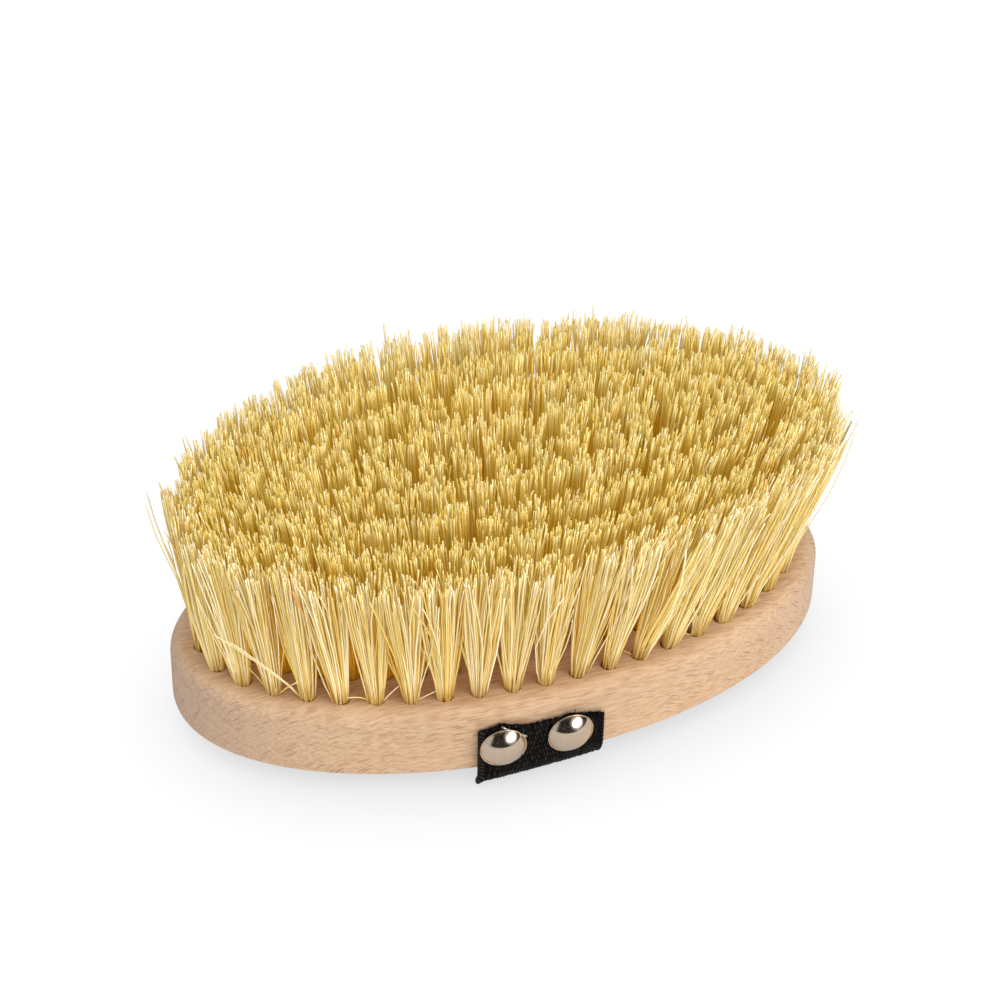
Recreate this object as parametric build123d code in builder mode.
from build123d import *
import math
import os

# ---------------------------------------------------------------------------
# Oval dry body brush, lying on its back: strap underneath, bristles up.
# Millimetres.  X along the block, Y across it, +Z towards the bristle tips.
# Left is -X and front is -Y.
# Origin: middle of the resting plane, which is the underside of the strap.
# ---------------------------------------------------------------------------

# Wooden block
BLOCK_L = 131.4            # length of the oval
BLOCK_W = 67.1             # width of the oval
BLOCK_T = 18.1             # thickness
BACK_EDGE_R = 5.7          # rounding on the hand side
FACE_EDGE_R = 3.0          # rounding on the bristle side

# Hand strap
STRAP_W = 25.0             # webbing width
STRAP_T = 1.5              # webbing thickness
STRAP_GAP = 0.15           # clearance between webbing and wood
STRAP_X = -2.75            # middle of the strap along the block
STRAP_TOP_LEFT = 15.8      # height of the nailed edge at its left corner
STRAP_TOP_RIGHT = 14.6     # height of the nailed edge at its right corner
SPAN_HALF = 24.0           # half length of the part that lifts off the back
SPAN_GAP = 0.15            # clearance between the span and each end

# Tuft holes
HOLE_D = 3.1
HOLE_DEPTH = 7.0
HOLE_RIM = 0.15            # small break on each hole mouth

# Tufts
TUFT_ROOT_D = 2.86         # bundle where it sits in its hole
TUFT_ROOT_GAP = 0.06       # clearance between root and hole floor
TUFT_TIP_D = 5.5           # bundle at its cut end
TUFT_FREE = 35.0           # free length above the wood

# Tuft layout: oval rings from the outside in, then a row along the middle
RING_A = 59.85             # outermost ring, half length
RING_B = 28.4              # outermost ring, half width
RING_STEP = 7.1            # distance from one ring to the next
RING_COUNTS = (44, 38, 32, 24)
RING_PHASES = (0.0, 0.5, 0.0, 0.0)  # shift along the ring, in tuft spacings
MIDDLE_COUNT = 9
MIDDLE_PITCH = 6.2
FLARE_X = 8.0 / RING_A     # outward lean of the tips, per mm from the middle
FLARE_Y = 6.05 / RING_B

# Wire staples that hold the folded fibres
WIRE_D = 0.44
CROWN_W = 2.5              # between the leg centre lines
CROWN_H = 0.9              # crown above the floor of the hole
LEG_BITE = 3.0             # legs driven below the floor of the hole
WIRE_BEND = 0.45           # bend radius

# Dome nails
NAIL_D = 9.0
NAIL_H = 2.6
NAIL_SHELL = 0.55          # thickness of the hollow dome
NAIL_SHANK_D = 1.4
NAIL_BITE = 9.5            # shank inside the wood
NAIL_POINT = 1.6           # length of the pointed end
NAIL_SEAT = 0.12           # rim stands off the curved webbing by this much
NAIL_PIERCE_GAP = 0.1      # radial clearance of the shank in the webbing
NAIL_PLACES = {            # x, z on the side wall
    "left": (-10.25, 11.1),
    "right": (2.9, 11.5),
}

# Tacking staples of the strap
TACK_WIRE_D = 0.5
TACK_W = 6.0               # between the leg centre lines
TACK_BITE = 3.0            # legs inside the wood
TACK_BEND = 0.6            # bend radius
TACK_X = -8.0
TACK_Z = 14.2
TACK_TILT = 35.0           # degrees, right end of the crown lower
TACK_SINK = 0.02           # crown below the surface of the webbing

SLOT_PLAY = 0.12           # slots are this much wider than the wire in them

# Derived sizes
A = BLOCK_L / 2
B = BLOCK_W / 2
Z_BACK = STRAP_T + STRAP_GAP
Z_FACE = Z_BACK + BLOCK_T
Z_FLOOR = Z_FACE - HOLE_DEPTH
WRAP = STRAP_GAP + STRAP_T  # from the wood to the outside of the webbing
SIDES = {"front": -1, "rear": 1}


# ---------------------------------------------------------------------------
# Places of tufts and fasteners
# ---------------------------------------------------------------------------
def ellipse_points(a, b, count, phase):
    """Points at equal distances along an ellipse, from the middle of its front side."""
    steps = 7200
    xs, ys, run = [0.0], [-b], [0.0]
    for i in range(1, steps + 1):
        angle = -math.pi / 2 + 2 * math.pi * i / steps
        x, y = a * math.cos(angle), b * math.sin(angle)
        run.append(run[-1] + math.hypot(x - xs[-1], y - ys[-1]))
        xs.append(x)
        ys.append(y)
    points, j = [], 0
    for k in range(count):
        target = (k + phase) * run[-1] / count
        while run[j + 1] < target:
            j += 1
        part = (target - run[j]) / (run[j + 1] - run[j])
        points.append((xs[j] + part * (xs[j + 1] - xs[j]), ys[j] + part * (ys[j + 1] - ys[j])))
    return points


TUFT_PLACES = {
    f"ring_{k + 1}": ellipse_points(RING_A - k * RING_STEP, RING_B - k * RING_STEP, count, phase)
    for k, (count, phase) in enumerate(zip(RING_COUNTS, RING_PHASES))
}
TUFT_PLACES["middle_row"] = [
    ((i - (MIDDLE_COUNT - 1) / 2) * MIDDLE_PITCH, 0.0) for i in range(MIDDLE_COUNT)
]


def wall_seat(x, side, z, out, tilt=0.0):
    """Plane standing off the block's side wall by out: local z points straight out of the
    wall, local x runs to the right along it, tilted downwards by tilt degrees."""
    y = side * B * math.sqrt(1 - (x / A) ** 2)
    normal = Vector(x / A**2, y / B**2, 0).normalized()
    right = Vector(-normal.Y, normal.X, 0) * -side
    angle = math.radians(tilt)
    along = right * math.cos(angle) - Vector(0, 0, 1) * math.sin(angle)
    return Plane(origin=Vector(x, y, z) + normal * out, x_dir=along, z_dir=normal)


def nail_seat(place, side):
    """Seat of a nail's rim."""
    x, z = NAIL_PLACES[place]
    return wall_seat(x, side, z, WRAP + NAIL_SEAT)


def tack_seat(side):
    """Seat of a tacking staple: local x along the centre line of its crown."""
    return wall_seat(TACK_X, side, TACK_Z, WRAP - TACK_WIRE_D / 2 - TACK_SINK, TACK_TILT)


def placed(part, *seats):
    """One piece made of copies of part, one at each seat."""
    with BuildPart() as copies:
        with Locations(*seats):
            add(part)
    return copies.part


# ---------------------------------------------------------------------------
# Wooden block: oval, rounded on both faces, one blind hole per tuft
# ---------------------------------------------------------------------------
def make_block():
    with BuildPart() as block:
        with BuildSketch(Plane.XY.offset(Z_BACK)):
            Ellipse(A, B)
        extrude(amount=BLOCK_T)
        fillet(block.edges().sort_by(Axis.Z)[-1], radius=FACE_EDGE_R)
        fillet(block.edges().sort_by(Axis.Z)[0], radius=BACK_EDGE_R)
        for places in TUFT_PLACES.values():
            with Locations(*[(x, y, Z_FACE) for x, y in places]):
                Hole(radius=HOLE_D / 2, depth=HOLE_DEPTH)
        mouths = (
            block.edges()
            .filter_by(GeomType.CIRCLE)
            .filter_by(
                lambda e: abs(e.center().Z - Z_FACE) < 0.01 and abs(e.radius - HOLE_D / 2) < 0.01
            )
        )
        chamfer(mouths, length=HOLE_RIM)
    return block.part


# ---------------------------------------------------------------------------
# Tufts: each is a straight root in its hole, then a cone that leans outwards
# and is cut flat
# ---------------------------------------------------------------------------
def make_tufts(places):
    slot_w = WIRE_D + SLOT_PLAY
    slot_over = 1.0                              # slots run past the root by this much
    leg_slot_y = CROWN_W / 2 - WIRE_BEND - 0.02  # inner end of a leg slot, from the axis
    leg_slot_l = 2.0                             # long enough to leave the root
    with BuildPart() as tufts:
        for x, y in places:
            with BuildSketch(Plane.XY.offset(Z_FLOOR + TUFT_ROOT_GAP)):
                with Locations((x, y)):
                    Circle(TUFT_ROOT_D / 2)
            with BuildSketch(Plane.XY.offset(Z_FACE)):
                with Locations((x, y)):
                    Circle(TUFT_ROOT_D / 2)
            with BuildSketch(Plane.XY.offset(Z_FACE + TUFT_FREE)):
                with Locations((x * (1 + FLARE_X), y * (1 + FLARE_Y))):
                    Circle(TUFT_TIP_D / 2)
            loft(ruled=True)
        # the fibres fold under the staple's crown, with its legs passing outside them
        with Locations(*[(x, y, Z_FLOOR + CROWN_H) for x, y in places]):
            Box(slot_w, HOLE_D + slot_over, slot_w, mode=Mode.SUBTRACT)
        leg_y = leg_slot_y + leg_slot_l / 2
        leg_z = Z_FLOOR + (CROWN_H - slot_over) / 2
        with Locations(*[(x, y + s * leg_y, leg_z) for x, y in places for s in (-1, 1)]):
            Box(slot_w, leg_slot_l, CROWN_H + slot_over, mode=Mode.SUBTRACT)
    return tufts.part


# ---------------------------------------------------------------------------
# Fasteners
# ---------------------------------------------------------------------------
def make_staple(plane, width, foot_z, crown_z, bend, wire_d):
    """Bent wire with its legs down, drawn in an upright plane about its origin."""
    foot = plane.x_dir * (-width / 2) + plane.y_dir * foot_z
    with BuildPart() as staple:
        with BuildLine(plane) as path:
            FilletPolyline(
                (-width / 2, foot_z),
                (-width / 2, crown_z),
                (width / 2, crown_z),
                (width / 2, foot_z),
                radius=bend,
            )
        with BuildSketch(Plane(origin=foot, z_dir=(0, 0, 1))):
            Circle(wire_d / 2)
        sweep(path=path.wires()[0])
    return staple.part


def make_dome_nail():
    """Nail about its own axis: z = 0 is its rim, the shank points down."""
    dome_r = ((NAIL_D / 2) ** 2 + NAIL_H**2) / (2 * NAIL_H)
    cup_r = dome_r - NAIL_SHELL
    dome_z = NAIL_H - dome_r  # common centre of dome and cup
    shank_r = NAIL_SHANK_D / 2
    tip = (0, -(WRAP + NAIL_SEAT + NAIL_BITE))
    shoulder = (shank_r, tip[1] + NAIL_POINT)
    top = (0, NAIL_H)
    rim_outer = (NAIL_D / 2, 0)
    rim_inner = (math.sqrt(cup_r**2 - dome_z**2), 0)
    neck = (shank_r, dome_z + math.sqrt(cup_r**2 - shank_r**2))
    # angles from the axis to the middle of each arc
    dome_mid = math.atan2(rim_outer[0], -dome_z) / 2
    cup_mid = (math.atan2(rim_inner[0], -dome_z) + math.asin(shank_r / cup_r)) / 2

    def on_arc(radius, angle):
        return (radius * math.sin(angle), dome_z + radius * math.cos(angle))

    with BuildPart() as nail:
        with BuildSketch(Plane.XZ):
            with BuildLine():
                ThreePointArc(top, on_arc(dome_r, dome_mid), rim_outer)
                Line(rim_outer, rim_inner)
                ThreePointArc(rim_inner, on_arc(cup_r, cup_mid), neck)
                Line(neck, shoulder)
                Line(shoulder, tip)
                Line(tip, top)
            make_face()
        revolve(axis=Axis.Z)
    return nail.part


# ---------------------------------------------------------------------------
# Hand strap: two nailed ends that wrap the block's lower edge, and the span
# ---------------------------------------------------------------------------
def make_grown_block(growth):
    """The block's oval and back rounding, grown outwards and down by growth."""
    with BuildPart() as grown:
        with BuildSketch(Plane.XY.offset(Z_BACK - growth)):
            Ellipse(A + growth, B + growth)
        extrude(amount=BLOCK_T)
        fillet(grown.edges().sort_by(Axis.Z)[0], radius=BACK_EDGE_R + growth)
    return grown.part


def make_strap_outline():
    """The strap's width and nailed edge, as a bar through the block."""
    left, right = STRAP_X - STRAP_W / 2, STRAP_X + STRAP_W / 2
    bottom = -1  # anywhere below the strap
    with BuildPart() as outline:
        with BuildSketch(Plane.XZ):
            with BuildLine():
                Polyline(
                    (left, bottom),
                    (right, bottom),
                    (right, STRAP_TOP_RIGHT),
                    (left, STRAP_TOP_LEFT),
                    close=True,
                )
            make_face()
        extrude(amount=BLOCK_W, both=True)
    return outline.part


def make_strap_end(side):
    """The webbing from the nails down the side wall, round the lower edge and onto the back."""
    outside = make_grown_block(WRAP)
    core = make_grown_block(STRAP_GAP)
    outline = make_strap_outline()
    near = SPAN_HALF + SPAN_GAP
    groove_w = TACK_WIRE_D + SLOT_PLAY
    groove_h = 2 * groove_w - 0.06  # tall enough to open through the webbing's surface
    with BuildPart() as end:
        add(outside)
        add(core, mode=Mode.SUBTRACT)
        add(outline, mode=Mode.INTERSECT)
        with Locations((0, side * (near + B), 0)):
            Box(BLOCK_L, 2 * B, 4 * BLOCK_T, mode=Mode.INTERSECT)
        # holes pierced by the nail shanks
        with Locations(*[nail_seat(place, side) for place in NAIL_PLACES]):
            Cylinder(NAIL_SHANK_D / 2 + NAIL_PIERCE_GAP, 3 * WRAP, mode=Mode.SUBTRACT)
        # the tacking staple sinks into the webbing: a groove for its crown, holes for its legs
        with Locations(tack_seat(side)):
            with Locations((0, 0, (groove_h - groove_w) / 2)):
                Box(TACK_W + groove_w, groove_w, groove_h, mode=Mode.SUBTRACT)
            with Locations((-TACK_W / 2, 0, 0), (TACK_W / 2, 0, 0)):
                Cylinder(groove_w / 2, 3 * WRAP, mode=Mode.SUBTRACT)
    return end.part


def make_strap_span():
    with BuildPart() as span:
        with BuildSketch(Plane.XY):
            with Locations((STRAP_X, 0)):
                Rectangle(STRAP_W, 2 * SPAN_HALF)
        extrude(amount=STRAP_T)
    return span.part


# ---------------------------------------------------------------------------
# Build and write the pieces
# ---------------------------------------------------------------------------
# crown along Y, z = 0 at the hole floor
wire_staple = make_staple(Plane.YZ, CROWN_W, -LEG_BITE, CROWN_H, WIRE_BEND, WIRE_D)
# crown along X at z = 0
tack_foot = -(TACK_BITE + WRAP - TACK_WIRE_D / 2)
tack_staple = make_staple(Plane.XZ, TACK_W, tack_foot, 0, TACK_BEND, TACK_WIRE_D)
dome_nail = make_dome_nail()

pieces = {"brush_block": make_block(), "strap_span": make_strap_span()}
for group, places in TUFT_PLACES.items():
    pieces[f"tufts_{group}"] = make_tufts(places)
    floors = [(x, y, Z_FLOOR) for x, y in places]
    pieces[f"tuft_staples_{group}"] = placed(wire_staple, *floors)
for side_name, side in SIDES.items():
    pieces[f"strap_{side_name}_end"] = make_strap_end(side)
    pieces[f"strap_staple_{side_name}"] = placed(tack_staple, tack_seat(side))
    for place in NAIL_PLACES:
        pieces[f"nail_{side_name}_{place}"] = placed(dome_nail, nail_seat(place, side))

os.makedirs("parts", exist_ok=True)
for name, piece in pieces.items():
    piece.label = name
    export_step(piece, f"parts/{name}.step")
